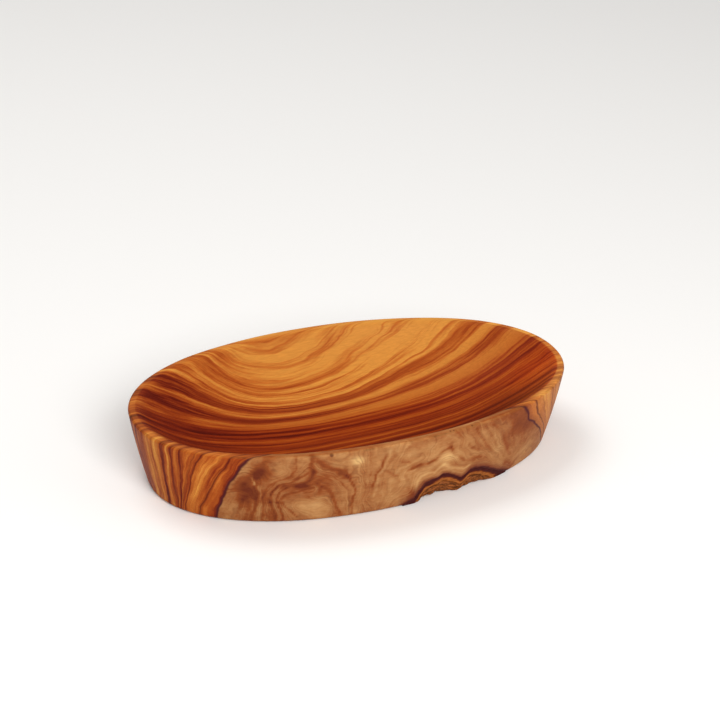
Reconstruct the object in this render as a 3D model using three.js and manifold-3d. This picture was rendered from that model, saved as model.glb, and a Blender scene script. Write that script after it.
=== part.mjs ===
// Oval serving bowl hollowed out of one olive-wood billet, with natural bark left on its lower front edge.
// Millimetres, +Z up. The origin is under the middle of the bowl, on the plane that it stands on.
// +X runs along the bowl and -Y is the front, the side of the billet that was the outside of the tree.
import * as THREE from "three";
import { LoftGeometry } from "three/addons/geometries/LoftGeometry.js";
import { mergeVertices } from "three/addons/utils/BufferGeometryUtils.js";
import Module from "manifold-3d";

// Outside of the bowl.
const RIM_LENGTH = 150;
const RIM_WIDTH = 88;
const HEIGHT = 26;
const BASE_LENGTH = 138;
const BASE_WIDTH = 78;
const WALL_SWELL = 0.4; // how far the outer wall bulges at half its height
const OVAL_POWER = 2.13; // 2 is an ellipse, more is squarer
const END_TAPER = 0.03; // how much narrower the +X end is cut, and how much fuller the -X end
const BASE_ROUND = 0.8;

// Hollow.
const LIP_WIDTH = 3; // from the rim's outer edge to the edge of the hollow
const LIP_ROUND = 0.9; // rounding of the rim's outer edge
const FLOOR = 6; // thickness under the middle of the hollow
const HOLLOW_POWER = 3; // 1 is a cone, more is flatter in the middle and steeper at the lip

// Bark, on a surface of the old trunk that cuts the lower edge of the front wall away.
// Each point is a place along X and the height at which wood and bark meet on the outer wall.
const BARK_LINE = [
  [1.8, 0.4],
  [6, 2.3],
  [9.2, 7.0],
  [13.5, 9.8],
  [18, 8.9],
  [23, 5.6],
  [26.5, 7.8],
  [31, 7.0],
  [37, 3.6],
  [42.5, 0.4],
];
const BARK_THICKNESS = 1.6;
const BARK_SEAM = 0.3; // gap between wood and bark
const UNDERCUT = 0.75; // how far the trunk's surface runs under the bowl for each millimetre that it falls
const CUT_REACH = 4; // how far a cutting body stands past the faces that it cuts

// Fineness of the curved faces.
const OVAL_POINTS = 96;
const ROUND_STEPS = 4;
const WALL_STEPS = 4;
const HOLLOW_STEPS = 14;

const wasm = await Module();
wasm.setup();

function loftedSolid(rings) {
  const skin = new THREE.BufferGeometry().copy(new LoftGeometry(rings, { capStart: true, capEnd: true }));
  skin.deleteAttribute("normal");
  skin.deleteAttribute("uv");
  const merged = mergeVertices(skin);
  return new wasm.Manifold(
    new wasm.Mesh({
      numProp: 3,
      vertProperties: merged.attributes.position.array,
      triVerts: new Uint32Array(merged.index.array),
    }),
  );
}

function geometryFrom(solid) {
  const { vertProperties, triVerts } = solid.getMesh();
  const geometry = new THREE.BufferGeometry();
  geometry.setAttribute("position", new THREE.BufferAttribute(vertProperties, 3));
  geometry.setIndex(new THREE.BufferAttribute(triVerts, 1));
  geometry.computeVertexNormals();
  return geometry;
}

// Half of the outer wall's length and width at a height, with what the swell adds there.
// The wall reaches the rim's full size where the rounding of the lip begins.
function outerHalves(z) {
  const rise = Math.min(1, z / (HEIGHT - LIP_ROUND));
  const swell = WALL_SWELL * 4 * rise * (1 - rise);
  return {
    length: THREE.MathUtils.lerp(BASE_LENGTH, RIM_LENGTH, rise) / 2 + swell,
    width: THREE.MathUtils.lerp(BASE_WIDTH, RIM_WIDTH, rise) / 2 + swell,
  };
}

// Width of the oval at a place along its length, from -1 to 1, as a share of its greatest half width.
function ovalShare(along) {
  const span = Math.max(0, 1 - Math.abs(along) ** OVAL_POWER) ** (1 / OVAL_POWER);
  return span * (1 - END_TAPER * along);
}

// One ring of the bowl's skin, counter-clockwise from above.
function ovalRing(halfLength, halfWidth, z) {
  return Array.from({ length: OVAL_POINTS }, (_, i) => {
    const angle = (i / OVAL_POINTS) * 2 * Math.PI;
    const cosine = Math.cos(angle);
    const along = Math.sign(cosine) * Math.abs(cosine) ** (2 / OVAL_POWER);
    const across = Math.sign(Math.sin(angle)) * ovalShare(along);
    return new THREE.Vector3(halfLength * along, halfWidth * across, z);
  });
}

function outerRing(z, inset) {
  const half = outerHalves(z);
  return ovalRing(half.length - inset, half.width - inset, z);
}

// A quarter round from a level face into a wall, as shares of its radius: how far it has run out and risen.
function quarterRound() {
  return Array.from({ length: ROUND_STEPS + 1 }, (_, i) => {
    const angle = (i / ROUND_STEPS) * (Math.PI / 2);
    return { run: Math.sin(angle), rise: 1 - Math.cos(angle) };
  });
}

// The bowl before it is hollowed, from its base up.
function outside() {
  const edge = quarterRound();
  const base = edge.map(({ run, rise }) => outerRing(BASE_ROUND * rise, BASE_ROUND * (1 - run)));
  const wall = Array.from({ length: WALL_STEPS - 1 }, (_, i) => {
    return outerRing(THREE.MathUtils.lerp(BASE_ROUND, HEIGHT - LIP_ROUND, (i + 1) / WALL_STEPS), 0);
  });
  const lip = edge.map(({ run, rise }) => outerRing(HEIGHT - LIP_ROUND * rise, LIP_ROUND * (1 - run)));
  return loftedSolid([...base, ...wall, ...lip.reverse()]);
}

// What is carved out, from the middle of the hollow's floor up and out past the lip.
function hollow() {
  const halfLength = RIM_LENGTH / 2 - LIP_WIDTH;
  const halfWidth = RIM_WIDTH / 2 - LIP_WIDTH;
  const rings = Array.from({ length: HOLLOW_STEPS }, (_, i) => {
    const share = (i + 1) / HOLLOW_STEPS;
    const z = THREE.MathUtils.lerp(FLOOR, HEIGHT, share ** HOLLOW_POWER);
    return ovalRing(halfLength * share, halfWidth * share, z);
  });
  const mouth = ovalRing(halfLength, halfWidth, HEIGHT + CUT_REACH);
  return loftedSolid([...rings, mouth]);
}

// The space outside the old trunk, along the bark line. outward is how far its surface lies from the wood.
function outsideTrunk(outward) {
  const shift = outward * Math.hypot(1, UNDERCUT);
  const sections = BARK_LINE.map(([x, height]) => {
    const half = outerHalves(height);
    const surface = -half.width * ovalShare(x / half.length) - shift;
    const front = surface - CUT_REACH;
    return [
      new THREE.Vector3(x, front, height + CUT_REACH / UNDERCUT),
      new THREE.Vector3(x, front, -CUT_REACH),
      new THREE.Vector3(x, surface + UNDERCUT * (height + CUT_REACH), -CUT_REACH),
    ];
  });
  return loftedSolid(sections);
}

function namedMesh(name, solid, finish) {
  const material = new THREE.MeshStandardMaterial({ metalness: 0, ...finish });
  const mesh = new THREE.Mesh(geometryFrom(solid), material);
  mesh.name = name;
  return mesh;
}

const blank = outside().subtract(hollow());
const wood = blank.subtract(outsideTrunk(0));
const bark = blank.intersect(outsideTrunk(BARK_SEAM)).subtract(outsideTrunk(BARK_SEAM + BARK_THICKNESS));

const bowl = new THREE.Group();
bowl.add(
  namedMesh("bowl_body", wood, { color: "#b5713a", roughness: 0.5 }),
  namedMesh("bark_edge", bark, { color: "#7a4218", roughness: 0.9 }),
);

export default bowl;
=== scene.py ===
"""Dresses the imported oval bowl: carved and oiled olive wood, with natural bark on its lower front edge.

Sizes and places are in millimetres, in the bowl's own frame, and become metres when a mesh is made.
"""
import math

import bmesh
import bpy
from mathutils import Matrix, Vector, noise


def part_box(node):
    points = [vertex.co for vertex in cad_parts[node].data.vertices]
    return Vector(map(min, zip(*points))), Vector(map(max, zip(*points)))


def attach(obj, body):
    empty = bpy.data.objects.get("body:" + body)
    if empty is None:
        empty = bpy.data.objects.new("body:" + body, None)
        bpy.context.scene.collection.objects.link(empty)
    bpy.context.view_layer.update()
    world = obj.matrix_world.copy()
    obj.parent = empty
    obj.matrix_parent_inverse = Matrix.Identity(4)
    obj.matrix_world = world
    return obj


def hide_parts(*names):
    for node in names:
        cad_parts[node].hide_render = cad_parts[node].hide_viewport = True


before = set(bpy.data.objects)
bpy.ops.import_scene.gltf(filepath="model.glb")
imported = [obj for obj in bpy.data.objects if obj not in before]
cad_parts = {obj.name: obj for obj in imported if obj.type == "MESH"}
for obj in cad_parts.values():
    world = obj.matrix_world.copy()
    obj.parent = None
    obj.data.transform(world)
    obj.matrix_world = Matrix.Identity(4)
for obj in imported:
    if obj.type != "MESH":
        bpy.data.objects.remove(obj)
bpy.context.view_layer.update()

MM = 0.001

# The bowl's sizes. The overall ones come from the frame, the others are the part's own.
LOW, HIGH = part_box("bowl_body")
RIM_LENGTH = (HIGH.x - LOW.x) / MM
RIM_WIDTH = (HIGH.y - LOW.y) / MM
HEIGHT = HIGH.z / MM
BASE_LENGTH = 138
BASE_WIDTH = 78
WALL_SWELL = 0.4  # how far the outer wall bulges at half its height
OVAL_POWER = 2.13  # 2 is an ellipse, more is squarer
END_TAPER = 0.03  # how much narrower the right end is cut, and how much fuller the left end
BASE_ROUND = 0.8
LIP_WIDTH = 3  # from the rim's outer edge to the edge of the hollow
LIP_ROUND = 0.9
LIP_INNER_ROUND = 0.9
FLOOR = 6  # thickness under the middle of the hollow
HOLLOW_POWER = 3  # 1 is a cone, more is flatter in the middle and steeper at the lip

# Where wood and bark meet on the front wall: a place along the bowl and the height there.
BARK_LINE = (
    (1.8, 0.4), (5.7, 2.2), (7, 4.4), (9.3, 7.6), (12, 8.4), (13.6, 8.8), (15, 9.8), (17, 9.4), (19.4, 8),
    (22.6, 5.8), (24, 6.4), (26, 7.9), (28, 7.9), (30.5, 7.2), (33.3, 5.5), (37, 3.3), (42.5, 0.4),
)
BARK_START = BARK_LINE[0][0]
BARK_MIDDLE = 17
BARK_END = BARK_LINE[-1][0]
BARK_DEPTH = 3.6  # from the wood to the outermost of the bark's colours
BARK_SEAT = 0.3  # how far the bark reaches back into the wood
CUT_FACE = 3.2  # how far down the wall the bark is sanded flush
CUT_WANDER = 0.5  # how far the foot of that face wanders
CUT_WANDER_LENGTH = 4
CUT_WANDER_SEED = 1
UNDERCUT = 0.75  # how far the trunk's surface runs under the bowl for each millimetre that it falls

# Ridges of the rough bark: height, length along the bowl, waves down the face, and a seed.
BARK_RIDGES = ((0.8, 9, 3.1, 4), (0.6, 3, 6.5, 9), (0.45, 1.2, 11, 15))
ROUGH_DEPTH = 2.3  # how far below the wood the rough face is coloured
RIDGE_DEPTH = 0.6  # and how much further for each millimetre of a ridge

# How growth rings lie for each millimetre below the rim: how far back, how much closer together in the middle
# of the bowl, and how much closer still for each millimetre to the right of it.
RING_LEAN = 0.14
RING_CLOSING = 0.012
RING_CLOSING_ALONG = 0.0042 / 55
LEAST_SPACING = 0.4

# Tone of the heartwood on each growth ring, from the front to the back: ring and tone, where 0 is dark.
# A ring is named by where it crosses the rim. Two lists, because one curve would be too coarse, meet near the
# middle tone, which is taken off their sum.
HEART_EDGE = -35.0
MIDDLE_TONE = 0.48
NEAR_TONES = (
    (-36, 0.2), (-35, 0.2), (-34.5, 0.28), (-34, 0.36), (-33.7, 0.4), (-33.4, 0.52), (-33, 0.56),
    (-32.8, 0.42), (-32.5, 0.3), (-32, 0.5), (-31, 0.55), (-30, 0.65), (-29.2, 0.72), (-28.4, 0.7),
    (-27.6, 0.55), (-27, 0.32), (-26.4, 0.42), (-25.4, 0.4), (-24.6, 0.52), (-23.6, 0.76), (-22.8, 0.66),
    (-22, 0.26), (-21.4, 0.2), (-20.7, 0.45), (-19.9, 0.62), (-19.1, 0.36), (-18.5, 0.3), (-17.9, 0.56),
    (-17.2, 0.82), (-16.4, 0.64), (-15.4, 0.2), (-14.6, 0.22), (-13.8, 0.5), (-12.8, 0.64), (-11.7, 0.85),
    (-11, 0.62), (-10.4, 0.52), (-9.4, 0.64), (-7.6, 0.75), (-6.4, 0.56), (-5.4, 0.42), (-4, 0.5),
)
FAR_TONES = (
    (-4, 0.5), (-2.4, 0.45), (-1.4, 0.6), (-0.9, 0.3), (-0.2, 0.5), (1.5, 0.62), (2.6, 0.6), (3.6, 0.4),
    (5, 0.24), (5.8, 0.5), (6.6, 0.55), (7.4, 0.28), (8.6, 0.34), (9.4, 0.56), (10.6, 0.38), (11.4, 0.6),
    (13.4, 0.72), (16.4, 0.7), (17.4, 0.48), (18.6, 0.28), (20.2, 0.32), (21.2, 0.52), (22.4, 0.78),
    (23.6, 0.72), (24.4, 0.45), (25.6, 0.3), (27.6, 0.35), (28.6, 0.58), (29.4, 0.5), (30, 0.74),
    (31.5, 0.62), (33, 0.72), (35, 0.8), (35.4, 0.56), (36, 0.72), (38, 0.62), (40, 0.74), (44, 0.7),
)

# How far the rings draw together towards the foot of the left end: the ring that would lie there if they did
# not, and 0 for PINCH back to 1 for PINCH forward.
PINCH = 4
PINCHES = (
    (-36.5, 0.55), (-35.4, 0.55), (-34.6, 0.5), (-33.5, 0.45), (-32, 0.34), (-30.2, 0.21), (-26.6, 0.175),
    (-25.2, 0.27), (-23.8, 0.25), (-23.6, 0.7), (-22, 0.9), (-19.2, 0.78), (-17.4, 0.8), (-15, 0.93),
    (-9, 0.85), (-2, 0.5),
)

# Thin dark lines in the heartwood near its edge: ring and strength.
HEART_LINES = (
    (-32.5, 0.8), (-30.6, 0.2), (-27, 0.8), (-25.5, 0.45), (-22.4, 0.3), (-21.5, 0.7), (-20.6, 0.3),
    (-18.7, 0.6), (-17.6, 0.25), (-15.4, 0.7), (-14.6, 0.7), (-13.2, 0.3), (-10.6, 0.5), (-9.1, 0.3),
    (-5.6, 0.5),
)
HEART_LINE_WIDTH = 0.3  # to each side, where it has faded out

# How far in from the rim the hollow's painted shade begins to darken the wood, and is in full: at the left
# end, whose lip is worn soft, and from the middle on, where the lip's inner edge is crisp.
HOLLOW_SHADE_LEFT = (1, 5)
HOLLOW_SHADE_RIGHT = (2.1, 2.5)
LEFT_END = -60

# How far up faces look, where 1 is straight up: those that get painted shade and painted light, and level
# ones.
FACING_UP = 0.2
LEVEL_FACE = 0.93
LIP_START, LIP_WHOLE = 0.7, 0.2  # how far below the rim

# Small dark knots: place and radius.
KNOTS = (
    ((-24.7, -42.4, 25.9), 0.9), ((16.3, -42, 25.9), 0.45), ((17.5, -41.9, 25.9), 0.4),
    ((24.4, -41.1, 25.9), 0.45), ((26.8, -41.3, 25.9), 0.4), ((49.9, -33.5, 25.9), 0.5),
    ((54.5, -31, 25.9), 0.5),
)
FAR_FROM_KNOTS = 9.0  # in radii

# Figure of the sapwood on the front wall, as places along it and heights.
# Faint lines along its growth rings: ring and strength. A stroke below can say on which ring it lies.
SAP_LINES = (
    (1.6, 0.2), (3, 0.25), (4, 0.35), (4.6, 0.3), (5.2, 0.4), (5.7, 0.55), (6.2, 0.45), (6.7, 0.4),
    (7.1, 0.6), (7.6, 0.4), (8.1, 0.45), (8.6, 0.6), (9.2, 0.4), (9.7, 0.5), (10.2, 0.35), (10.7, 0.5),
    (11.3, 0.4), (11.8, 0.35), (12.4, 0.5), (12.9, 0.3), (13.3, 0.3), (14, 0.4), (14.6, 0.3), (15.4, 0.45),
    (16.2, 0.4), (17.6, 0.5), (18.2, 0.35), (19.5, 0.3),
)
SAP_LINE_WIDTH = 0.17  # to each side, where it has faded out

# Smoky places (below 0) and pale ones: place along, height, half length, half height, strength.
SAP_PATCHES = (
    (30, 14, 22, 14, -0.12), (22, 26, 18, 2.4, -0.24), (46, 25, 10, 3.5, -0.32), (-46.7, 20, 3.2, 3.2, -0.38),
    (-48.8, 12, 3, 4, -0.31), (-30.2, 19.7, 1.1, 1.3, -0.5), (-19, 16.5, 1.6, 1, -0.62),
    (-33.6, 14.3, 1.7, 0.7, -0.62), (-42, 8.5, 0.7, 0.45, -0.5), (-40, 8.4, 0.7, 0.45, -0.56),
    (-35, 10, 18, 14, -0.38), (46.8, 18.5, 5, 6, -0.45), (55, 16, 6, 14, -0.28), (5, 4.5, 3, 3, -0.38),
    (-29.5, 6, 6.5, 3.8, 0.56), (-16.4, 22.7, 1.9, 1.8, 1), (17, 16, 3.3, 2.4, 0.56),
    (36.3, 12.5, 3, 2.5, 0.31), (51, 5.5, 3, 2.5, 0.25), (-38, 21, 3, 3, 0.19), (3, 9, 6, 5, 0.15),
)

# Smoky strokes (below 0), dark lines and pale veins: half width, strength, the ring that one lies on, if any,
# and the places that it follows.
SAP_STROKES = (
    # Left of the core.
    (2, -0.42, None, ((-43.8, 26), (-45.3, 22.9), (-46.7, 19.7))),
    (2, -0.26, None, ((-50.5, 16), (-49, 12.2), (-48.4, 9.5))),
    (0.6, -0.42, 12, ((-47.4, 15), (-46.6, 11.6), (-46.3, 7.6), (-46.8, 3.5), (-47.1, 0))),
    (0.36, -0.3, 10, ((-45, 13.2), (-44.8, 10), (-44.1, 6.9), (-43.6, 1))),
    (0.42, -0.17, 14, ((-50, 9.4), (-50.8, 5.7), (-51.5, 1))),
    (0.42, -0.17, 13, ((-48.3, 8.3), (-48.5, 4.2), (-49, 0))),
    (0.45, 0.68, None, ((-48.2, 18.5), (-47.6, 16.8), (-47.5, 15.7))),
    (0.6, 0.26, None, ((-46.1, 14.7), (-45.7, 10), (-45.2, 3))),
    # The core, its point on the left and its edge.
    (2, 0.09, 2, ((-33, 6.5), (-25, 4.5))),
    (0.32, -0.42, 8, ((-40.3, 15.1), (-41.8, 13.2), (-42.3, 10.8), (-42, 8.5), (-40.8, 5.2), (-39.9, 0))),
    (0.32, -0.42, 6.5, ((-37.9, 14.2), (-39.8, 12.4), (-40.4, 10), (-40, 8.2), (-38.7, 5.2), (-37.7, 0))),
    (0.36, -0.34, 5, ((-38.6, 8.4), (-37.2, 6.3), (-35.6, 4.2), (-34, 2))),
    (0.42, -0.34, 5, ((-39, 9.4), (-37.7, 11.1), (-35.5, 12.1), (-32, 13.1), (-29.4, 13.5))),
    # The arch over the core.
    (0.75, -0.42, 6.5, ((-38.5, 14.6), (-36.3, 15.1), (-33.6, 14.5), (-31, 14.7))),
    (0.36, -0.34, 8, (
        (-42.3, 11.6), (-41.9, 13.6), (-40.3, 14.9), (-38.1, 15.8), (-35.8, 16.6), (-32, 19.5),
    )),
    (0.36, -0.26, 10, (
        (-44.7, 10.8), (-43.4, 15.1), (-41.2, 16.5), (-36.5, 18.6), (-35.7, 20.9), (-35.5, 26),
    )),
    (0.75, -0.38, None, ((-30.7, 26), (-31.2, 23.2), (-30.2, 19.7), (-31.4, 16.6), (-33.4, 15.1))),
    (0.75, -0.34, 10, ((-30, 25.3), (-27.8, 23), (-25.2, 21), (-22, 19.3), (-19.4, 17.1))),
    (0.32, -0.42, 9, ((-18.6, 15.9), (-16.5, 12.4), (-15.7, 10), (-16.3, 7.3), (-16.3, 4.1), (-16, 0))),
    (0.42, -0.34, 6, ((-28.6, 15.2), (-27.3, 13.7), (-27.4, 11.8))),
    (0.42, -0.3, 6, ((-27, 14), (-24.8, 12.4), (-23.6, 10.1), (-22, 6.7), (-20.8, 4.1), (-19.6, 1))),
    # The vein in the middle.
    (0.5, 0.34, 13, (
        (-5.4, 24.1), (-5.2, 22), (-6.2, 19.8), (-7.1, 17.4), (-8.4, 15), (-9, 12.1), (-9.3, 7),
    )),
    (0.32, -0.34, None, ((-6.6, 23), (-7, 21), (-8.2, 18), (-9.5, 15), (-10.3, 11))),
    (0.8, -0.21, 14, ((-5.9, 16.6), (-3.8, 15.1), (-2, 13.6), (-0.8, 10.8))),
    (0.6, 0.21, 15, ((-2.2, 14.7), (-1.6, 16.2), (0.4, 16.7), (3.2, 17.4), (5.9, 18.6))),
    (0.7, -0.21, 16, ((1.3, 12.7), (2.2, 9.8), (3.2, 7.6))),
    (0.42, -0.34, 16, ((1.8, 14.9), (3.9, 15.1), (5.7, 16))),
    (0.8, -0.26, 16, ((3.4, 15.5), (6.2, 15.6), (8.6, 16), (11, 16.2))),
    # The mound over the bark.
    (0.6, -0.34, 17, ((9.6, 16), (12, 16.5), (13.1, 18.8), (14.5, 19.7), (16.5, 20))),
    (0.42, -0.3, 17, ((16.5, 20), (18.4, 17), (20.8, 14.6), (23.6, 12.9), (27.2, 11.9))),
    (0.5, 0.42, 19, (
        (6.2, 4.8), (5.7, 8.9), (6.8, 10.8), (9.6, 11.7), (12.1, 11.5), (13.7, 12.7), (15.1, 13.4),
    )),
    (0.5, 0.42, 19, ((15.1, 13.4), (17.6, 11.8), (21.1, 10.4), (23.1, 9.5), (25.1, 10.2))),
    # Right of the bark.
    (0.42, -0.21, 15, ((24.1, 19.2), (25.8, 17), (27.6, 15.5))),
    (0.42, -0.26, 16, ((24.6, 15.3), (26.8, 13.2), (29.4, 11.5))),
    (0.35, -0.24, 14, ((26.4, 24.5), (28.6, 20.4), (30.8, 16.6), (33.6, 13.2), (37, 9.6))),
    (0.35, -0.24, 13, ((29.8, 24.5), (32.4, 20.2), (34.4, 16.4), (37, 12.4), (40, 8.6))),
    (0.6, -0.21, 12, ((32.7, 23.8), (37.2, 19.3), (38.7, 15.9), (40.5, 11.8), (42.9, 7.8))),
    (2, -0.21, None, ((44.4, 20), (42.2, 17.7), (39.7, 16.5), (41.4, 12.6))),
    (1.3, -0.34, 15, ((41, 4.8), (44.8, 1.9))),
)
STROKE_WANDER = 0.6  # how far strokes and patches wander with the grain
WANDER_LENGTH = 3
WANDER_SEEDS = (2.5, 12.5)  # along the wall and up it
STROKE_CORE = 0.3  # more lets a stroke pull less on the rings right beside it
STROKE_PULL = 1.5  # more lets its pull fall off faster
BARK_RING = 21  # the ring that lies along the bark
OUTER_RING = 14  # the ring far from all strokes
OUTER_WEIGHT = 1e-4

# Where the front wall begins, on which the figure is drawn. Elsewhere the sapwood's rings are straight.
FRONT_FROM = -10
STRAIGHT_RING = -10  # in the middle of the bowl
RINGS_PER_MM = 0.6  # towards the front
FAR_FROM_BARK = 30

# The photograph's view: a long lens from the front left, a little above.
CAMERA_PLACE = Vector((-305.5, -688.2, 416.1))
CAMERA_AIM = Vector((3.2, 0, 33.8))
CAMERA_ROLL = math.radians(1.25)
CAMERA_LENS = 129.25

# Oil on wood and bark: its index of refraction, and the little that fibres under it mirror.
OIL_IOR = 1.45
OIL_SPECULAR = 0.06


def linear(hex_colour):
    """An sRGB hex colour as linear RGBA."""
    channels = [int(hex_colour[i:i + 2], 16) / 255 for i in (1, 3, 5)]
    return [c / 12.92 if c <= 0.04045 else ((c + 0.055) / 1.055) ** 2.4 for c in channels] + [1]


def add(tree, kind, inputs=None, points=(), colours=(), **settings):
    """Adds a node with its settings and links, a shader node unless its kind is given in full.

    An input given as a node or a socket is linked, any other is set. points are the places and levels of a
    curve, from 0 to 1, with straight stretches between, and colours the places and sRGB colours of a ramp.
    """
    node = tree.nodes.new(kind if "Node" in kind else "ShaderNode" + kind)
    for name, value in settings.items():
        setattr(node, name, value)
    for key, value in (inputs or {}).items():
        by_name = [s for s in node.inputs if s.enabled and s.name == key]
        socket = by_name[0] if by_name else node.inputs[key]
        if isinstance(value, bpy.types.Node):
            value = next(s for s in value.outputs if s.enabled)
        if isinstance(value, bpy.types.NodeSocket):
            tree.links.new(value, socket)
        else:
            socket.default_value = value
    if points:
        curve = node.mapping.curves[0].points
        curve[0].location, curve[1].location = points[0], points[-1]
        for place, level in points[1:-1]:
            curve.new(place, level)
        for point in curve:
            point.handle_type = "VECTOR"
        node.mapping.update()
    if colours:
        ramp = node.color_ramp.elements
        ramp.remove(ramp[1])
        ramp[0].position = colours[0][0]
        ramp[0].color = linear(colours[0][1])
        for place, colour in colours[1:]:
            ramp.new(place).color = linear(colour)
    return node


def progress(value, start, end):
    """How far a value has come from a start to an end, from 0 to 1."""
    return min(1, max(0, (value - start) / (end - start)))


def blend(start, end, share):
    """A value that lies a share of the way from a start to an end."""
    return start + (end - start) * share


def new_object(name, data):
    """Puts a mesh, a light or a camera into the scene."""
    placed = bpy.data.objects.new(name, data)
    bpy.context.scene.collection.objects.link(placed)
    return placed


# Shape of the outer wall, shared by the bowl and the bark.
def outer_halves(z):
    """Half the length and half the width of the outer wall at a height."""
    rise = progress(z, 0, HEIGHT - LIP_ROUND)
    swell = WALL_SWELL * 4 * rise * (1 - rise)
    length = blend(BASE_LENGTH, RIM_LENGTH, rise)
    width = blend(BASE_WIDTH, RIM_WIDTH, rise)
    return length / 2 + swell, width / 2 + swell


def front_wall(x, z):
    """Where the front wall lies at a place along the bowl and a height."""
    half_length, half_width = outer_halves(z)
    along = x / half_length
    span = max(0, 1 - abs(along) ** OVAL_POWER) ** (1 / OVAL_POWER)
    return -half_width * span * (1 - END_TAPER * along)


def bark_height(x):
    """Height of the line between wood and bark."""
    for (x0, h0), (x1, h1) in zip(BARK_LINE, BARK_LINE[1:]):
        if x0 <= x <= x1:
            return blend(h0, h1, (x - x0) / (x1 - x0))
    return 0


def trunk_surface(x, z):
    """Where the wood of the trunk ended, under its bark."""
    height = bark_height(x)
    return front_wall(x, height) + UNDERCUT * (height - z)


# The bowl.
def bowl_rings():
    """Each ring of the skin, from the base over the lip to the floor: half length, half width and height."""
    round_steps, wall_steps, hollow_steps = 6, 60, 40
    quarter = [math.radians(90 * i / round_steps) for i in range(round_steps + 1)]
    rings = [(0, 0, 0)]
    for angle in quarter:
        z = BASE_ROUND * (1 - math.cos(angle))
        inset = BASE_ROUND * (1 - math.sin(angle))
        rings.append((*(half - inset for half in outer_halves(z)), z))
    wall_top = HEIGHT - LIP_ROUND
    for i in range(1, wall_steps):
        z = blend(BASE_ROUND, wall_top, i / wall_steps)
        rings.append((*outer_halves(z), z))
    for angle in quarter:
        z = wall_top + LIP_ROUND * math.sin(angle)
        inset = LIP_ROUND * (1 - math.cos(angle))
        rings.append((RIM_LENGTH / 2 - inset, RIM_WIDTH / 2 - inset, z))

    hollow_length = RIM_LENGTH / 2 - LIP_WIDTH
    hollow_width = RIM_WIDTH / 2 - LIP_WIDTH

    def hollow(share):
        z = blend(FLOOR, HEIGHT, share ** HOLLOW_POWER)
        return Vector((hollow_length * share, hollow_width * share, z))

    edge = hollow(1)
    before = edge + Vector((LIP_INNER_ROUND, LIP_INNER_ROUND, 0))
    first_share = 1 - LIP_INNER_ROUND / hollow_width
    after = hollow(first_share)
    for i in range(round_steps):
        step = i / round_steps
        rings.append(before.lerp(edge, step).lerp(edge.lerp(after, step), step).to_tuple())
    rings += [hollow(first_share * (1 - i / hollow_steps)).to_tuple() for i in range(hollow_steps + 1)]
    return rings


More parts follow.
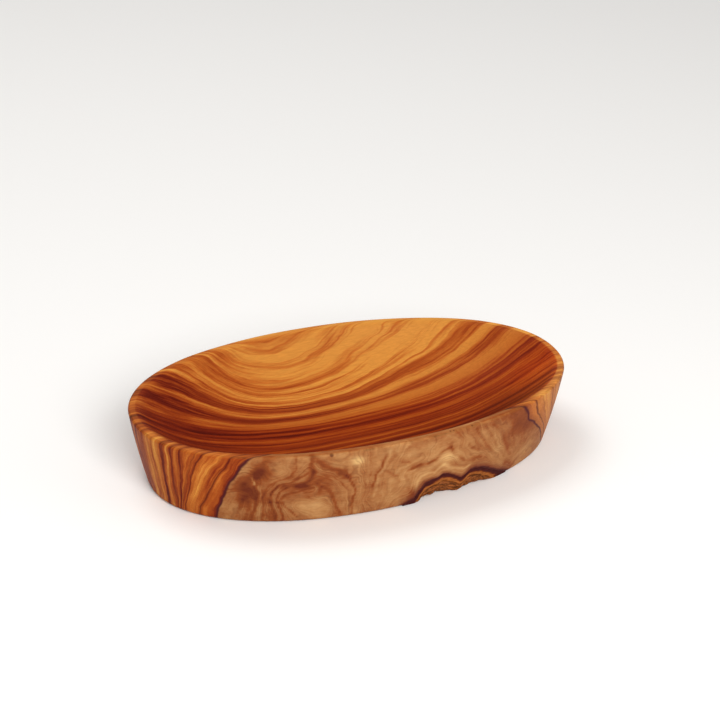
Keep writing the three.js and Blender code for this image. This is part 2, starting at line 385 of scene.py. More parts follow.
def oval_ring_tree():
    """Turns a line of ring sizes (half length, half width, height) into the oval skin through all of them."""
    tree = bpy.data.node_groups.new("carved_oval", "GeometryNodeTree")
    for name, kind in (
        ("Rings", "Geometry"), ("Points around", "Int"), ("Oval power", "Float"), ("End taper", "Float"),
        ("Hand sanding", "Float"), ("Sanding stroke", "Float"), ("Seed", "Float"), ("Wood", "Material"),
    ):
        tree.interface.new_socket(name, in_out="INPUT", socket_type="NodeSocket" + kind)
    tree.interface.new_socket("Skin", in_out="OUTPUT", socket_type="NodeSocketGeometry")

    sizes = add(tree, "NodeGroupInput").outputs
    rings = add(tree, "GeometryNodeAttributeDomainSize", {"Geometry": sizes["Rings"]}).outputs["Point Count"]
    columns = add(tree, "Math", {0: sizes["Points around"], 1: 1}, operation="ADD")
    grid = add(tree, "GeometryNodeMeshGrid", {"Vertices X": columns, "Vertices Y": rings})

    # Each grid column is one place around the oval and each grid row is one ring.
    index = add(tree, "GeometryNodeInputIndex")
    column = add(tree, "Math", {0: index, 1: rings}, operation="DIVIDE")
    column = add(tree, "Math", {0: column}, operation="FLOOR")
    row = add(tree, "Math", {0: index, 1: rings}, operation="MODULO")
    here = add(tree, "GeometryNodeInputPosition")
    ring = add(
        tree, "GeometryNodeSampleIndex", {"Geometry": sizes["Rings"], "Value": here, "Index": row},
        data_type="FLOAT_VECTOR",
    )
    ring = add(tree, "SeparateXYZ", {0: ring}).outputs

    # Cosine and sine keep their signs and take the oval's power, and the width tapers along the oval.
    turn = add(tree, "Math", {0: column, 1: sizes["Points around"]}, operation="DIVIDE")
    angle = add(tree, "Math", {0: turn, 1: 2 * math.pi}, operation="MULTIPLY")
    corner = add(tree, "Math", {0: 2, 1: sizes["Oval power"]}, operation="DIVIDE")
    reaches = []
    for function in ("COSINE", "SINE"):
        wave = add(tree, "Math", {0: angle}, operation=function)
        reach = add(tree, "Math", {0: wave}, operation="ABSOLUTE")
        reach = add(tree, "Math", {0: reach, 1: corner}, operation="POWER")
        sign = add(tree, "Math", {0: wave}, operation="SIGN")
        reaches.append(add(tree, "Math", {0: reach, 1: sign}, operation="MULTIPLY"))
    along, across = reaches
    taper = add(tree, "Math", {0: along, 1: sizes["End taper"]}, operation="MULTIPLY")
    taper = add(tree, "Math", {0: 1, 1: taper}, operation="SUBTRACT")
    across = add(tree, "Math", {0: across, 1: taper}, operation="MULTIPLY")
    x = add(tree, "Math", {0: along, 1: ring["X"]}, operation="MULTIPLY")
    y = add(tree, "Math", {0: across, 1: ring["Y"]}, operation="MULTIPLY")
    place = add(tree, "CombineXYZ", {"X": x, "Y": y, "Z": ring["Z"]})
    skin = add(tree, "GeometryNodeSetPosition", {"Geometry": grid, "Position": place})

    # Points that fall together, on the seam and in the middle of the foot and the floor, become one.
    skin = add(tree, "GeometryNodeMergeByDistance", {"Geometry": skin, "Distance": 0.002})

    # Sanding by hand leaves the faces a little wavy. The foot stays flat.
    scale = add(tree, "Math", {0: 1, 1: sizes["Sanding stroke"]}, operation="DIVIDE")
    wave = add(
        tree, "TexNoise", {"Vector": here, "W": sizes["Seed"], "Scale": scale, "Detail": 0},
        noise_dimensions="4D",
    )
    wave = add(tree, "Math", {0: wave, 1: 0.5}, operation="SUBTRACT")
    height = add(tree, "SeparateXYZ", {0: here}).outputs["Z"]
    off_foot = add(tree, "MapRange", {"Value": height, "From Min": 0.5, "From Max": 4})
    for amount in (sizes["Hand sanding"], off_foot):
        wave = add(tree, "Math", {0: wave, 1: amount}, operation="MULTIPLY")
    normal = add(tree, "GeometryNodeInputNormal")
    push = add(tree, "VectorMath", {0: normal, "Scale": wave}, operation="SCALE")
    skin = add(tree, "GeometryNodeSetPosition", {"Geometry": skin, "Offset": push})

    skin = add(tree, "GeometryNodeTransform", {"Geometry": skin, "Scale": (MM, MM, MM)})
    skin = add(tree, "GeometryNodeRealizeInstances", {"Geometry": skin})
    skin = add(tree, "GeometryNodeSetMaterial", {"Geometry": skin, "Material": sizes["Wood"]})
    add(tree, "NodeGroupOutput", {"Skin": skin})
    return tree


def carve_bowl(wood):
    """The bowl's skin from its rings, cut back along its lower front edge to the surface of the trunk."""
    rings = bowl_rings()
    line = bpy.data.meshes.new("bowl_rings")
    line.from_pydata(rings, [(i, i + 1) for i in range(len(rings) - 1)], [])
    blank = new_object("bowl_blank", line)
    tree = oval_ring_tree()
    nodes = blank.modifiers.new("carve", "NODES")
    nodes.node_group = tree
    sizes = {
        "Points around": 720, "Oval power": OVAL_POWER, "End taper": END_TAPER,
        "Hand sanding": 0.3, "Sanding stroke": 24.0, "Seed": 7.0, "Wood": wood,
    }
    for item in tree.interface.items_tree:
        if item.in_out == "INPUT" and item.name in sizes:
            nodes[item.identifier] = sizes[item.name]
    evaluated = blank.evaluated_get(bpy.context.evaluated_depsgraph_get())
    mesh = bpy.data.meshes.new_from_object(evaluated)
    bpy.data.objects.remove(blank)

    for vertex in mesh.vertices:
        x, y, z = vertex.co / MM
        if BARK_START < x < BARK_END and y < 0 and z < bark_height(x):
            vertex.co.y = max(y, trunk_surface(x, z)) * MM
    mesh.shade_smooth()
    mark_figure(mesh)
    return new_object("bowl_wood", mesh)


# The bark.
def bark_section(x):
    """The bark's outline across the bowl at one place along it, as (y, z, depth below the wood).

    It runs from the top of the cut face down, over the rough outer face to the foot, and back up the wood.
    """
    cut_steps, rough_steps, seat_steps = 8, 26, 6
    height = bark_height(x)
    lean = math.hypot(1, UNDERCUT)
    points = []

    # The cut face is sanded flush with the wall down to where the rough outer face begins.
    # Towards the ends of the strip only the dark layer next to the wood is left.
    whole = min(progress(x - BARK_START, 2, 7), progress(BARK_END - x, 0, 7))
    wander = CUT_WANDER * noise.noise(Vector((x / CUT_WANDER_LENGTH, 0, CUT_WANDER_SEED)))
    cut_foot = max(0.0, height - CUT_FACE - wander)
    for i in range(cut_steps + 1):
        z = blend(height, cut_foot, i / cut_steps)
        y = front_wall(x, z)
        points.append((y, z, whole * max(0, (trunk_surface(x, z) - y) / lean)))

    # The rough outer face runs in under the bowl, in ridges along the bowl that grow out of the cut face.
    start = front_wall(x, cut_foot)
    for i in range(1, rough_steps + 1):
        step = i / rough_steps
        z = cut_foot * (1 - step)
        ridge = 0
        for reach, length, waves, seed in BARK_RIDGES:
            ridge += reach * noise.noise(Vector((x / length, step * waves, seed)))
        fade = progress(step, 0, 0.25) * progress(cut_foot, 0, 2)
        y = start + UNDERCUT * (cut_foot - z) - ridge * fade
        points.append((y, z, whole * (ROUGH_DEPTH + RIDGE_DEPTH * ridge)))
    seat = trunk_surface(x, 0) + BARK_SEAT
    for i in range(1, seat_steps + 1):
        z = height * i / seat_steps
        points.append((seat - UNDERCUT * z, z, 0))
    return points


def grow_bark(material):
    """The strip of bark, as a closed skin through its sections, with each point's depth below the wood."""
    spacing = 0.3
    count = round((BARK_END - BARK_START) / spacing)
    skin = bmesh.new()
    depth = skin.verts.layers.float.new("bark_depth")
    rows = []
    for i in range(count + 1):
        x = blend(BARK_START, BARK_END, i / count)
        row = []
        for y, z, below in bark_section(x):
            vertex = skin.verts.new((x * MM, y * MM, z * MM))
            vertex[depth] = below
            row.append(vertex)
        rows.append(row)
    for a, b in zip(rows, rows[1:]):
        for j in range(len(a)):
            k = (j + 1) % len(a)
            skin.faces.new((a[j], a[k], b[k], b[j]))
    skin.faces.new(rows[0])
    skin.faces.new(reversed(rows[-1]))
    bmesh.ops.recalc_face_normals(skin, faces=skin.faces)
    mesh = bpy.data.meshes.new("bark")
    skin.to_mesh(mesh)
    skin.free()
    mesh.materials.append(material)
    mesh.shade_smooth()
    return new_object("bark_strip", mesh)


# Figure of the wood and wear, stored on the bowl's skin.
def mark_figure(mesh):
    """Stores how the sapwood's figure lies on the bowl, and where shade and light are painted on it.

    contour is the growth ring, counted from the core of the figure, and bark_line the distance in millimetres
    from the bark. shade is below 0 where smoky and above 0 where pale. hollow is how much painted shade the
    wood gets inside the rim, from 0 to 1. lip is 1 on the lip and edge is 1 on its outer edge, where light is
    painted.
    """
    marks = {name: [] for name in ("contour", "shade", "bark_line", "hollow", "lip", "edge")}
    for vertex in mesh.vertices:
        x, y, z = vertex.co / MM
        outward = vertex.normal.x * x + vertex.normal.y * y > 0
        if outward and y < FRONT_FROM:
            figure = figure_at(x, z)
        else:
            figure = (STRAIGHT_RING - RINGS_PER_MM * y, 0, FAR_FROM_BARK)
        hollow = lip = 0
        if vertex.normal.z > FACING_UP:
            inset = rim_inset(x, y)
            # Painted shade in the hollow, and the lip, on which light is painted.
            hollow = oil_at(x, inset)
            lip = min(progress(HEIGHT - z, LIP_START, LIP_WHOLE), 1 - progress(inset, *HOLLOW_SHADE_RIGHT))
        edge = lip if outward and vertex.normal.z < LEVEL_FACE else 0
        for values, value in zip(marks.values(), (*figure, hollow, lip, edge)):
            values.append(value)
    for name, values in marks.items():
        mesh.attributes.new(name, "FLOAT", "POINT").data.foreach_set("value", values)


def rim_inset(x, y):
    """How far in from the rim's outer edge a place lies, seen from above."""
    along = abs(2 * x / RIM_LENGTH)
    across = abs(2 * y / RIM_WIDTH) / (1 - END_TAPER * 2 * x / RIM_LENGTH)
    share = (along ** OVAL_POWER + across ** OVAL_POWER) ** (1 / OVAL_POWER)
    return (1 - share) * max(math.hypot(x, y), RIM_WIDTH / 4)


def oil_at(x, inset):
    """How much painted shade the hollow gets at a place along the bowl and in from the rim, from 0 to 1."""
    right = progress(x, LEFT_END, 0)
    start, full = (blend(a, b, right) for a, b in zip(HOLLOW_SHADE_LEFT, HOLLOW_SHADE_RIGHT))
    return progress(inset, start, full)


def figure_at(x, z):
    """The sapwood's figure at a place on the front wall: contour, shade and distance from the bark."""
    bark = line_distance(x, z, BARK_LINE)
    places = [Vector((x / WANDER_LENGTH, z / WANDER_LENGTH, seed)) for seed in WANDER_SEEDS]
    x += STROKE_WANDER * noise.noise(places[0])
    z += STROKE_WANDER * noise.noise(places[1])
    shade = 0
    for middle, height, half_length, half_height, strength in SAP_PATCHES:
        shade += strength * math.exp(-((x - middle) / half_length) ** 2 - ((z - height) / half_height) ** 2)

    # The ring is a mean of those that the strokes and the bark lie on, weighted by how near each is.
    total, weights = OUTER_RING * OUTER_WEIGHT, OUTER_WEIGHT
    lines = [(BARK_RING, bark)]
    for half_width, strength, ring, line in SAP_STROKES:
        distance = line_distance(x, z, line)
        shade += strength * math.exp(-(distance / half_width) ** 2)
        if ring is not None:
            lines.append((ring, distance))
    for ring, distance in lines:
        weight = 1 / (distance * distance + STROKE_CORE) ** STROKE_PULL
        total += weight * ring
        weights += weight
    return total / weights, shade, bark


def line_distance(x, z, line):
    """Distance on the front wall from a line through places along it and heights."""
    nearest = math.inf
    for (x0, z0), (x1, z1) in zip(line, line[1:]):
        run, rise = x1 - x0, z1 - z0
        share = ((x - x0) * run + (z - z0) * rise) / (run * run + rise * rise)
        share = min(1, max(0, share))
        nearest = min(nearest, math.hypot(x - x0 - share * run, z - z0 - share * rise))
    return nearest


# Materials.
def new_material(name):
    """A new material and its node tree, with no nodes yet."""
    material = bpy.data.materials.new(name)
    material.use_nodes = True
    material.node_tree.nodes.clear()
    return material, material.node_tree


def block_place(tree):
    """The place of a point in the block of wood, in millimetres."""
    place = add(tree, "TexCoord").outputs["Object"]
    return add(tree, "VectorMath", {0: place, "Scale": 1 / MM}, operation="SCALE")


def unevenness(tree, place, lengths, detail, roughness=0.5, seed=0.0):
    """A level from -0.5 to 0.5 that wanders with the place, over a length in millimetres along each axis."""
    place = add(tree, "VectorMath", {0: place, 1: lengths}, operation="DIVIDE")
    level = add(
        tree, "TexNoise",
        {"Vector": place, "W": seed, "Scale": 1, "Detail": detail, "Roughness": roughness},
        noise_dimensions="4D",
    )
    return add(tree, "Math", {0: level, 1: 0.5}, operation="SUBTRACT")


def by_ring(tree, ring, levels):
    """A level from 0 to 1 on each growth ring, from those listed and straight between them."""
    first, last = levels[0][0], levels[-1][0]
    place = add(tree, "MapRange", {"Value": ring, "From Min": first, "From Max": last})
    points = [((at - first) / (last - first), level) for at, level in levels]
    return add(tree, "FloatCurve", {"Value": place}, points=points)


def thin_lines(tree, ring, lines, half_width, first, last):
    """A level that is 0 but for thin lines, given by ring and strength, between a first and a last ring."""
    levels = [(first, 0)]
    for at, strength in lines:
        levels += [(at - half_width, 0), (at, strength), (at + half_width, 0)]
    return by_ring(tree, ring, levels + [(last, 0)])


def oiled_surface(tree, colour, roughness, bump):
    """Ends a material as wood or bark under a thin coat of oil."""
    shader = add(tree, "BsdfPrincipled", {
        "Base Color": colour, "Roughness": roughness, "IOR": OIL_IOR, "Specular IOR Level": OIL_SPECULAR,
        "Normal": bump,
    })
    add(tree, "OutputMaterial", {"Surface": shader})


def crooked_grain(tree, block):
    """Places along, across and up the block, bent as the trunk grew crooked.

    Slow, middling and quick waves of the grain each have a length along and across it, a reach and a seed.
    """
    grain = block
    for along, across, reach, seed in ((75, 30, 1.2, 0.0), (28, 9, 0.9, 3.0), (9, 3, 0.4, 8.0)):
        place = add(tree, "VectorMath", {0: block, 1: (along, across, across)}, operation="DIVIDE")
        wave = add(
            tree, "TexNoise", {"Vector": place, "W": seed, "Scale": 1, "Detail": 1}, noise_dimensions="4D",
        )
        wave = add(tree, "VectorMath", {0: wave.outputs["Color"], 1: (0.5, 0.5, 0.5)}, operation="SUBTRACT")
        wave = add(tree, "VectorMath", {0: wave, "Scale": 2 * reach}, operation="SCALE")
        grain = add(tree, "VectorMath", {0: grain, 1: wave}, operation="ADD")
    return add(tree, "SeparateXYZ", {0: grain}).outputs


def growth_rings(tree, block):
    """A point's place along the block, its growth ring and its place up the block."""
    x, y, z = crooked_grain(tree, block)

    # Below the rim a ring leans back, the more the further out it lies and the nearer it is to the right end.
    below = add(tree, "Math", {0: HEIGHT, 1: z}, operation="SUBTRACT")
    spacing = add(tree, "Math", {0: x, 1: -RING_CLOSING_ALONG, 2: -RING_CLOSING}, operation="MULTIPLY_ADD")
    spacing = add(tree, "Math", {0: spacing, 1: below, 2: 1}, operation="MULTIPLY_ADD")
    spacing = add(tree, "Math", {0: spacing, 1: LEAST_SPACING}, operation="MAXIMUM")
    ring = add(tree, "Math", {0: below, 1: -RING_LEAN, 2: y}, operation="MULTIPLY_ADD")
    ring = add(tree, "Math", {0: ring, 1: spacing}, operation="DIVIDE")

    # The rings of the left end draw together downwards, so that its stripes fork.
    pinch = add(tree, "Math", {0: by_ring(tree, ring, PINCHES), 1: 0.5}, operation="SUBTRACT")
    down = add(tree, "MapRange", {"Value": below, "From Min": 2, "From Max": 22, "To Max": 2 * PINCH})
    left = add(tree, "MapRange", {"Value": x, "From Min": -25, "From Max": -45})
    down = add(tree, "Math", {0: down, 1: left}, operation="MULTIPLY")
    ring = add(tree, "Math", {0: pinch, 1: down, 2: ring}, operation="MULTIPLY_ADD")

    # At the right end the edge of the heartwood jogs just under the rim.
    end = add(tree, "MapRange", {"Value": x, "From Min": 42, "From Max": 50, "To Max": 2.6})
    outer = add(tree, "MapRange", {"Value": ring, "From Min": -22, "From Max": -34})
    end = add(tree, "Math", {0: end, 1: outer}, operation="MULTIPLY")
    jog = add(tree, "MapRange", {"Value": below, "From Max": 7})
    ring = add(tree, "Math", {0: end, 1: jog, 2: ring}, operation="MULTIPLY_ADD")

    # The rings at the back arch up to the rim.
    arch = add(tree, "MapRange", {"Value": ring, "From Min": 10, "From Max": 28})
    for start, whole, reach in ((34, -16, 7), (-52, -20, 1)):
        side = add(
            tree, "MapRange", {"Value": x, "From Min": start, "From Max": whole, "To Max": reach},
            interpolation_type="SMOOTHSTEP",
        )
        arch = add(tree, "Math", {0: arch, 1: side}, operation="MULTIPLY")
    ring = add(tree, "Math", {0: ring, 1: arch}, operation="ADD")
    return x, ring, z


def heart_tone(tree, x, ring, z, right):
    """Tone of the heartwood by its growth ring, with all that varies it. right is 1 at the right end."""
    # The tones near the front are drawn a little fainter than listed.
    near = by_ring(tree, ring, NEAR_TONES)
    near = add(tree, "Math", {0: near, 1: 0.85, 2: 0.09}, operation="MULTIPLY_ADD")
    far = by_ring(tree, ring, FAR_TONES)
    tone = add(tree, "Math", {0: near, 1: far}, operation="ADD")

    # Streaks, most at the back, short threads, most at the front, and dark flecks inside the left end.
    line = add(tree, "CombineXYZ", {"X": x, "Y": ring, "Z": z})
    streak = unevenness(tree, line, (70, 2, 18), 4, 0.6)
    streaks = add(
        tree, "MapRange", {"Value": ring, "From Min": -6, "From Max": 10, "To Min": 0.8, "To Max": 1.2},
    )
    thread = unevenness(tree, line, (45, 0.8, 12), 3, 0.6, seed=2.0)
    threads = add(
        tree, "MapRange", {"Value": ring, "From Min": -6, "From Max": 4, "To Min": 0.65, "To Max": 0.5},
    )
    fleck = unevenness(tree, line, (16, 1.1, 9), 3, 0.65, seed=12.0)
    fleck = add(tree, "Math", {0: fleck, 1: 0.15}, operation="SUBTRACT")
    flecks = add(tree, "MapRange", {"Value": x, "From Min": -30, "From Max": -50, "To Max": 0.8})
    inner = add(tree, "MapRange", {"Value": ring, "From Min": -8, "From Max": -2})
    flecks = add(tree, "Math", {0: flecks, 1: inner}, operation="MULTIPLY")

    # Paler wood outside at the right end, and towards the back of it. At the right end the outer rings grow
    # paler towards the rim, which paints shade on the lower wall.
    high = add(tree, "MapRange", {"Value": z, "From Min": 8, "From Max": 22, "To Max": 0.06})
    high = add(tree, "Math", {0: right, 1: high}, operation="MULTIPLY")
    outer = add(tree, "MapRange", {"Value": ring, "From Min": -2, "From Max": -14})
    even = add(tree, "MapRange", {"Value": x, "From Min": -30, "From Max": 45, "To Max": 0.26})
    back = add(tree, "MapRange", {"Value": ring, "From Min": -12, "From Max": 12})
    for mark, amount in ((streak, streaks), (thread, threads), (fleck, flecks), (outer, high), (back, even)):
        tone = add(tree, "Math", {0: mark, 1: amount, 2: tone}, operation="MULTIPLY_ADD")

    # Fine dark lines.
    fine = unevenness(tree, line, (100, 1.7, 40), 2)
    fine = add(tree, "Math", {0: fine}, operation="ABSOLUTE")
    fine = add(tree, "MapRange", {"Value": fine, "From Max": 0.05, "To Min": 0.16, "To Max": 0})
    for less in (fine, MIDDLE_TONE):
        tone = add(tree, "Math", {0: tone, 1: less}, operation="SUBTRACT")
    return tone


def heartwood(tree, x, ring, z):
    """Colour of the heartwood, by the growth ring and the place along and up the bowl."""
    right = add(tree, "MapRange", {"Value": x, "From Min": 42, "From Max": 56})
    colour = add(tree, "ValToRGB", {"Fac": heart_tone(tree, x, ring, z, right)}, colours=(
        (0.0, "#521108"), (0.2, "#71220b"), (0.38, "#8c3a12"), (0.52, "#a04c18"), (0.68, "#b66626"),
        (0.9, "#cd8b3b"),
    ))
    outer = add(tree, "MapRange", {"Value": ring, "From Min": -8, "From Max": -22, "To Max": 0.35})
    tan = add(tree, "Math", {0: right, 1: outer}, operation="MULTIPLY")
    lines = thin_lines(tree, ring, HEART_LINES, HEART_LINE_WIDTH, first=-36, last=-4)
    for share, stain in ((tan, "#b98248"), (lines, "#4a150d")):
        colour = add(tree, "Mix", {"Factor": share, "A": colour, "B": linear(stain)}, data_type="RGBA")
    return colour


def sapwood(tree, block):
    """Colour of the sapwood, whose lines run in contours around the core of its figure and along the bark."""
    contour = add(tree, "Attribute", attribute_name="contour").outputs["Fac"]
    for size, reach, seed in ((15, 2, 1.0), (5, 1.4, 4.0), (2, 0.6, 6.0)):
        wave = unevenness(tree, block, (size, size, size), 1, seed=seed)
        contour = add(tree, "Math", {0: wave, 1: reach, 2: contour}, operation="MULTIPLY_ADD")
    along, _, up = add(tree, "SeparateXYZ", {0: block}).outputs
    flow = add(tree, "CombineXYZ", {"X": along, "Y": contour, "Z": up})

    # Streaks along the contours, and clouds, which are fainter right of the bark.
    streak = unevenness(tree, flow, (20, 0.7, 20), 4, 0.65)
    cloud = unevenness(tree, flow, (7, 5, 5), 3, 0.6)
    clouds = add(
        tree, "MapRange", {"Value": along, "From Min": 15, "From Max": 27, "To Min": 1.2, "To Max": 0.55},
    )
    level = add(tree, "Attribute", attribute_name="shade").outputs["Fac"]
    for mark, amount in ((streak, 0.9), (cloud, clouds)):
        level = add(tree, "Math", {0: mark, 1: amount, 2: level}, operation="MULTIPLY_ADD")
    level = add(tree, "MapRange", {"Value": level, "From Min": -1})
    colour = add(tree, "ValToRGB", {"Fac": level}, colours=(
        (0.05, "#602714"), (0.3, "#85441f"), (0.5, "#a36f42"), (0.68, "#b78856"), (0.9, "#cba168"),
    ))

    # Thin lines along the contours, which come and go.
    lines = thin_lines(tree, contour, SAP_LINES, SAP_LINE_WIDTH, first=0, last=24)
    shown = unevenness(tree, flow, (9, 3, 9), 2)
    shown = add(tree, "MapRange", {"Value": shown, "From Min": -0.2, "From Max": 0.1})
    lines = add(tree, "Math", {0: lines, 1: shown}, operation="MULTIPLY")
    colour = add(tree, "Mix", {"Factor": lines, "A": colour, "B": linear("#622a15")}, data_type="RGBA")
    return bark_stain(tree, colour, block, along, cloud)


def bark_stain(tree, colour, block, along, cloud):
    """Adds a brown stain and a dark layer next to the bark, which are wider towards its ends."""
    bark = add(tree, "Attribute", attribute_name="bark_line").outputs["Fac"]
    bark = add(tree, "Math", {0: cloud, 1: 1.6, 2: bark}, operation="MULTIPLY_ADD")
    off_middle = add(tree, "Math", {0: along, 1: BARK_MIDDLE}, operation="SUBTRACT")
    off_middle = add(tree, "Math", {0: off_middle}, operation="ABSOLUTE")
    wide = add(
        tree, "MapRange", {"Value": off_middle, "From Min": 4, "From Max": 11, "To Min": 1, "To Max": 2.2},
    )
    thick = unevenness(tree, block, (5, 5, 5), 2, seed=7.0)
    thick = add(tree, "Math", {0: thick, 1: 4, 2: wide}, operation="MULTIPLY_ADD")
    thick = add(tree, "Math", {0: thick, 1: 0.5}, operation="MAXIMUM")
    for width, full, end, stain in ((wide, 0.3, 1.4, "#6a2d1b"), (thick, 0.12, 0.46, "#401815")):
        near = add(tree, "Math", {0: bark, 1: width}, operation="DIVIDE")
        near = add(
            tree, "MapRange", {"Value": near, "From Min": full, "From Max": end, "To Min": 0.95, "To Max": 0},
        )
        colour = add(tree, "Mix", {"Factor": near, "A": colour, "B": linear(stain)}, data_type="RGBA")
    return colour


def dark_marks(tree, wood, block, x, ring):
    """Adds the sharp dark line where the heartwood ends, which is wider at the right end, and the knots."""
    off_line = add(tree, "Math", {0: ring, 1: HEART_EDGE}, operation="SUBTRACT")
    off_line = add(tree, "Math", {0: off_line}, operation="ABSOLUTE")
    closer = add(tree, "MapRange", {"Value": x, "From Min": 30, "From Max": 48, "To Min": 1, "To Max": 0.75})
    off_line = add(tree, "Math", {0: off_line, 1: closer}, operation="MULTIPLY")
    on_line = add(
        tree, "MapRange", {"Value": off_line, "From Min": 0.1, "From Max": 0.42, "To Min": 0.95, "To Max": 0},
    )

    off_knot = FAR_FROM_KNOTS
    for place, radius in KNOTS:
        off = add(tree, "VectorMath", {0: block, 1: place}, operation="DISTANCE").outputs["Value"]
        off = add(tree, "Math", {0: off, 1: radius}, operation="DIVIDE")
        off_knot = add(tree, "Math", {0: off_knot, 1: off}, operation="MINIMUM")
    on_knot = add(tree, "MapRange", {"Value": off_knot, "From Min": 0.5, "To Min": 0.8, "To Max": 0})
    for share, stain in ((on_line, "#45151a"), (on_knot, "#431711")):
        wood = add(tree, "Mix", {"Factor": share, "A": wood, "B": linear(stain)}, data_type="RGBA")
    return wood


def oiled_hollow(tree, wood, x, ring, is_heart):
    """Paints shade into the hollow, darker and redder, as shade with warm light reflected from its walls.

    The painted shade is weaker on the pale heartwood at the back and on the sapwood, and under the right
    end's lip it is lifted again.
    """
    hollow = add(tree, "Attribute", attribute_name="hollow").outputs["Fac"]
    back = add(tree, "MapRange", {"Value": ring, "From Min": 8, "From Max": 30, "To Max": 0.8})
    oiled = add(tree, "Math", {0: hollow, 1: back}, operation="SUBTRACT", use_clamp=True)
    shade_share = add(tree, "MapRange", {"Value": is_heart, "To Min": 0.7})
    oiled = add(tree, "Math", {0: oiled, 1: shade_share}, operation="MULTIPLY")
    # Painted shade: a dark, reddish tint multiplied into the hollow.
    oil = add(
        tree, "Mix", {"Factor": oiled, "A": linear("#ffffff"), "B": linear("#cc9268")}, data_type="RGBA",
    )
    # Under the right end's lip the painted shade is lifted again.
    end = add(tree, "MapRange", {"Value": x, "From Min": 54, "From Max": 66, "To Max": 0.5})
    fore = add(tree, "MapRange", {"Value": ring, "From Min": 6, "From Max": -6})
    end = add(tree, "Math", {0: end, 1: fore}, operation="MULTIPLY")
    pale = add(tree, "Math", {0: end, 1: oiled, 2: 1}, operation="MULTIPLY_ADD")
    for tint in (oil, pale):
        wood = add(tree, "Mix", {"Factor": 1, "A": wood, "B": tint}, data_type="RGBA", blend_type="MULTIPLY")
    return wood


def lip_light_and_tint(tree, wood, block, x, is_heart):
    """Paints light on the lip, most at its ends, reddens it in places in front, and a broken highlight on its
    edge.
    """
    lip = add(tree, "Attribute", attribute_name="lip").outputs["Fac"]
    edge = add(tree, "Attribute", attribute_name="edge").outputs["Fac"]

    # Painted light: the lip is paler and tanner, most at its ends.
    left = add(
        tree, "MapRange", {"Value": x, "From Min": -34, "From Max": -52, "To Min": 0.45, "To Max": 0.5},
    )
    right = add(tree, "MapRange", {"Value": x, "From Min": 50, "From Max": 62, "To Max": 0.35})
    plain = add(tree, "Math", {0: left, 1: right}, operation="ADD")
    plain = add(tree, "Math", {0: lip, 1: plain}, operation="MULTIPLY")
    tan = add(tree, "Math", {0: plain, 1: 0.25}, operation="MULTIPLY")
    wood = add(tree, "Mix", {"Factor": tan, "A": wood, "B": linear("#c8863f")}, data_type="RGBA")
    pale = add(tree, "Math", {0: plain, 1: 0.2, 2: 1}, operation="MULTIPLY_ADD")

    # Redder in places where the level face is sapwood.
    level = add(tree, "Math", {0: lip, 1: edge}, operation="SUBTRACT", use_clamp=True)
    is_sap = add(tree, "MapRange", {"Value": is_heart, "To Min": 1, "To Max": 0})
    patch = unevenness(tree, block, (9, 9, 9), 2, seed=9.0)
    patch = add(tree, "MapRange", {"Value": patch, "From Min": -0.15, "From Max": 0.15, "To Min": 0.2})
    for share in (is_sap, patch):
        level = add(tree, "Math", {0: level, 1: share}, operation="MULTIPLY")
    red = add(
        tree, "Mix", {"Factor": level, "A": linear("#ffffff"), "B": linear("#edcdb6")}, data_type="RGBA",
    )

    # A painted highlight along the outer edge, broken by darker patches.
    edge_glint = unevenness(tree, block, (8, 8, 8), 3, 0.6, seed=5.0)
    edge_glint = add(
        tree, "MapRange",
        {"Value": edge_glint, "From Min": -0.18, "From Max": 0.16, "To Min": -0.42, "To Max": 0.12},
    )
    edge_glint = add(tree, "Math", {0: edge, 1: edge_glint, 2: 1}, operation="MULTIPLY_ADD")
    for tint in (pale, red, edge_glint):
        wood = add(tree, "Mix", {"Factor": 1, "A": wood, "B": tint}, data_type="RGBA", blend_type="MULTIPLY")
    return wood


def olive_wood():
    """Olive wood, sawn across a crooked trunk, sanded and oiled.

    Gives the eye dark growth rings on honey-orange heartwood, a dark line where the heartwood ends, and tan
    sapwood with smoky swirls on the front, all running through the block, under a satin oil sheen. Shade is
    painted into the hollow, and light onto the lip.
    """
    material, tree = new_material("olive_wood_sanded_oiled")
    block = block_place(tree)
    x, ring, z = growth_rings(tree, block)
    is_heart = add(
        tree, "MapRange", {"Value": ring, "From Min": HEART_EDGE - 0.2, "From Max": HEART_EDGE + 0.2},
    )
    wood = add(
        tree, "Mix", {"Factor": is_heart, "A": sapwood(tree, block), "B": heartwood(tree, x, ring, z)},
        data_type="RGBA",
    )
    wood = dark_marks(tree, wood, block, x, ring)
    # Painted shade in the hollow.
    wood = oiled_hollow(tree, wood, x, ring, is_heart)
    # Painted light on the lip.
    wood = lip_light_and_tint(tree, wood, block, x, is_heart)

    # Fibres along the grain, drawn about three times as coarse as real ones so that they show.
    fibre = unevenness(tree, block, (4, 0.5, 0.5), 3, 0.6)
    fibres = {"Value": fibre, "From Min": -0.2, "From Max": 0.2}
    depth = add(tree, "MapRange", {**fibres, "To Min": 0.87, "To Max": 1.08})
    wood = add(tree, "Mix", {"Factor": 1, "A": wood, "B": depth}, data_type="RGBA", blend_type="MULTIPLY")
    gloss = add(tree, "MapRange", {**fibres, "To Min": 0.55, "To Max": 0.42})
    bump = add(tree, "Bump", {"Height": fibre, "Strength": 0.25, "Distance": 0.15 * MM})
    oiled_surface(tree, wood, gloss, bump)
    return material


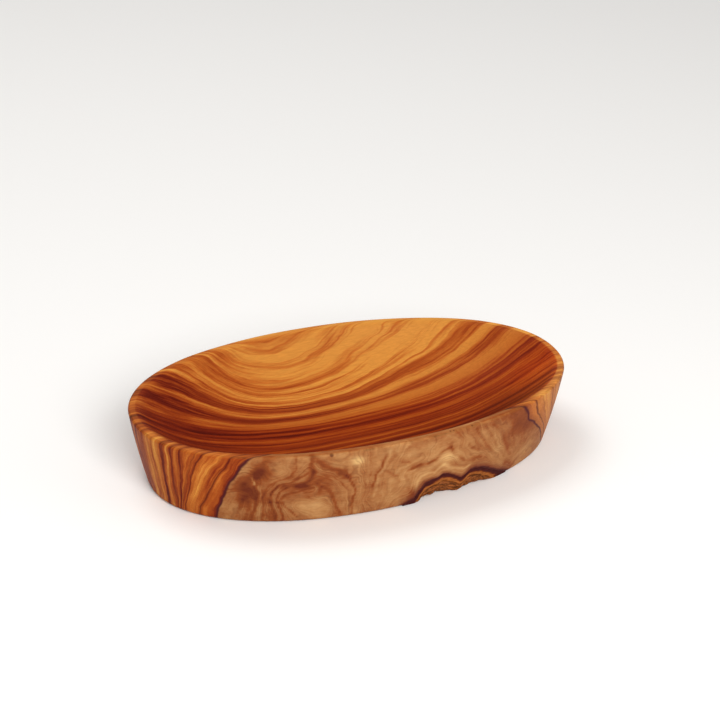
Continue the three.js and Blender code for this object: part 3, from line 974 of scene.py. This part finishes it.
def olive_bark():
    """Natural olive bark, sanded where the wall cuts it and rough below, oiled over.

    Gives the eye a purple-black line against the wood, a band of orange inner bark, and brown fibrous ridges.
    """
    material, tree = new_material("olive_bark_natural")
    block = block_place(tree)
    depth = add(tree, "Attribute", attribute_name="bark_depth").outputs["Fac"]
    wander = unevenness(tree, block, (4, 1.5, 1.5), 3)
    wander = add(tree, "Math", {0: wander, 1: 1.6, 2: 1}, operation="MULTIPLY_ADD")
    depth = add(tree, "Math", {0: depth, 1: wander}, operation="MULTIPLY")
    layer = add(tree, "MapRange", {"Value": depth, "From Max": BARK_DEPTH})
    colour = add(tree, "ValToRGB", {"Fac": layer}, colours=(
        (0.1, "#421816"), (0.15, "#5a2414"), (0.19, "#8e4c20"), (0.26, "#a05d2b"), (0.32, "#84471b"),
        (0.37, "#45210f"), (0.42, "#7e451d"), (0.65, "#92532a"), (0.85, "#643316"),
    ))

    # Fibres, which are dark between the ridges and faint on the sanded face.
    fibre = unevenness(tree, block, (3, 0.7, 0.7), 4, 0.7)
    rough = add(tree, "MapRange", {"Value": layer, "From Min": 0.3, "From Max": 0.45, "To Min": 0.3})
    speck = add(
        tree, "MapRange",
        {"Value": fibre, "From Min": -0.14, "From Max": 0.1, "To Min": 0.12, "To Max": 1.35},
    )
    speck = add(tree, "Mix", {"Factor": rough, "A": 1.0, "B": speck}, data_type="FLOAT")
    colour = add(tree, "Mix", {"Factor": 1, "A": colour, "B": speck}, data_type="RGBA", blend_type="MULTIPLY")
    bump = add(tree, "Bump", {"Height": fibre, "Strength": 0.9, "Distance": 0.6 * MM})
    oiled_surface(tree, colour, 0.8, bump)
    return material


def backdrop_paper():
    """White backdrop paper, matt, which gives the eye a plain pale floor."""
    material, tree = new_material("white_paper_backdrop")
    shader = add(tree, "BsdfPrincipled", {"Base Color": linear("#f3f1ee"), "Roughness": 0.9})
    add(tree, "OutputMaterial", {"Surface": shader})
    return material


# Studio.
def set_camera():
    """A camera with the photograph's view, rolled a little."""
    forward = (CAMERA_AIM - CAMERA_PLACE).normalized()
    right = forward.cross(Vector((0, 0, 1))).normalized()
    up = right.cross(forward)
    turned_right = math.cos(CAMERA_ROLL) * right + math.sin(CAMERA_ROLL) * up
    turned_up = math.cos(CAMERA_ROLL) * up - math.sin(CAMERA_ROLL) * right
    data = bpy.data.cameras.new("camera")
    data.lens = CAMERA_LENS
    data.sensor_width = 36
    data.clip_start = 50 * MM
    camera = new_object("camera", data)
    axes = Matrix((turned_right, turned_up, -forward)).transposed().to_4x4()
    camera.matrix_world = Matrix.Translation(CAMERA_PLACE * MM) @ axes
    bpy.context.scene.camera = camera


def set_light(name, place, size, power):
    """A square soft light of a size in millimetres that faces the bowl."""
    data = bpy.data.lights.new(name, "AREA")
    data.size = size * MM
    data.energy = power
    light = new_object(name, data)
    light.location = Vector(place) * MM
    light.rotation_euler = (Vector((0, 0, HEIGHT / 2)) - Vector(place)).to_track_quat("-Z", "Y").to_euler()


def set_studio():
    """A pale floor just under the bowl, soft lights and a white surround."""
    half, drop = 2000 * MM, 0.2 * MM
    mesh = bpy.data.meshes.new("floor")
    corners = [(-half, -half, -drop), (half, -half, -drop), (half, half, -drop), (-half, half, -drop)]
    mesh.from_pydata(corners, [], [(0, 1, 2, 3)])
    mesh.materials.append(backdrop_paper())
    new_object("floor", mesh)

    set_light("key", (-100, -800, 560), size=450, power=8)
    set_light("fill", (650, -500, 350), size=600, power=0.7)
    set_light("top", (-200, 350, 850), size=500, power=3)

    world = bpy.data.worlds.new("studio")
    world.use_nodes = True
    surround = world.node_tree.nodes["Background"]
    surround.inputs["Color"].default_value = linear("#ffffff")
    surround.inputs["Strength"].default_value = 0.42
    bpy.context.scene.world = world
    bpy.context.scene.view_settings.view_transform = "Standard"


set_camera()
set_studio()
bowl = carve_bowl(olive_wood())
bark = grow_bark(olive_bark())

for piece, node, slot in ((bowl, "bowl_body", "olive_wood"), (bark, "bark_edge", "bark")):
    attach(piece, "root")
    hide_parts(node)
